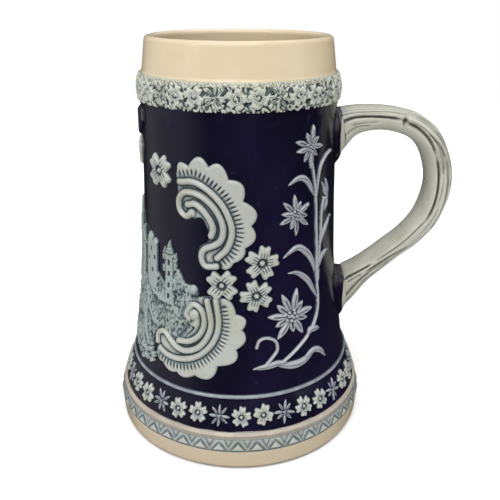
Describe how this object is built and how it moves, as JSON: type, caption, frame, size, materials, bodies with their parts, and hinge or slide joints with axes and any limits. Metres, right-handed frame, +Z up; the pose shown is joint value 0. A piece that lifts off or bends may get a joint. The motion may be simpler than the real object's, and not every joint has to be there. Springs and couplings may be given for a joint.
{
  "type": "beer stein",
  "caption": "Lidless relief beer stein: hollow tapered ceramic cup with a wide foot, raised floral bands and a branch-shaped side handle.",
  "frame": {"origin": "centre of the flat foot, on the stein's own axis, on the surface that it stands on", "axes": "+Z up along the stein's axis towards the rim; +X from the axis towards the handle; the front panel faces -X; the handle lies in the XZ plane"},
  "size_m": [0.1545, 0.119, 0.1751],
  "materials": {
    "cobalt_glaze": "gloss",
    "cream_glaze": "gloss",
    "relief_glaze": "gloss",
    "castle_glaze": "gloss",
    "branch_glaze": "gloss"
  },
  "bodies": {
    "root": {"body": "cobalt_glaze", "handle": "branch_glaze", "handle_root_upper": "cobalt_glaze", "handle_root_lower": "cobalt_glaze", "field_bead_ring": "relief_glaze", "skirt_bead_ring": "cream_glaze", "skirt_edelweiss": "relief_glaze", "skirt_blossoms": "relief_glaze", "collar_edelweiss": "relief_glaze", "collar_blossoms": "relief_glaze", "foot_triangles": "relief_glaze", "castle_keep": "castle_glaze", "castle_wing_right": "castle_glaze", "castle_wing_left": "castle_glaze", "swag": "cobalt_glaze", "shell": "relief_glaze", "scroll_upper_right": "relief_glaze", "scroll_lower_right": "relief_glaze", "blossoms_right": "relief_glaze", "upper_blossom_right": "relief_glaze", "edelweiss_right": "relief_glaze", "vine_right": "relief_glaze", "scroll_upper_left": "relief_glaze", "scroll_lower_left": "relief_glaze", "blossoms_left": "relief_glaze", "upper_blossom_left": "relief_glaze", "edelweiss_left": "relief_glaze", "vine_left": "relief_glaze"}
  },
  "joints": []
}
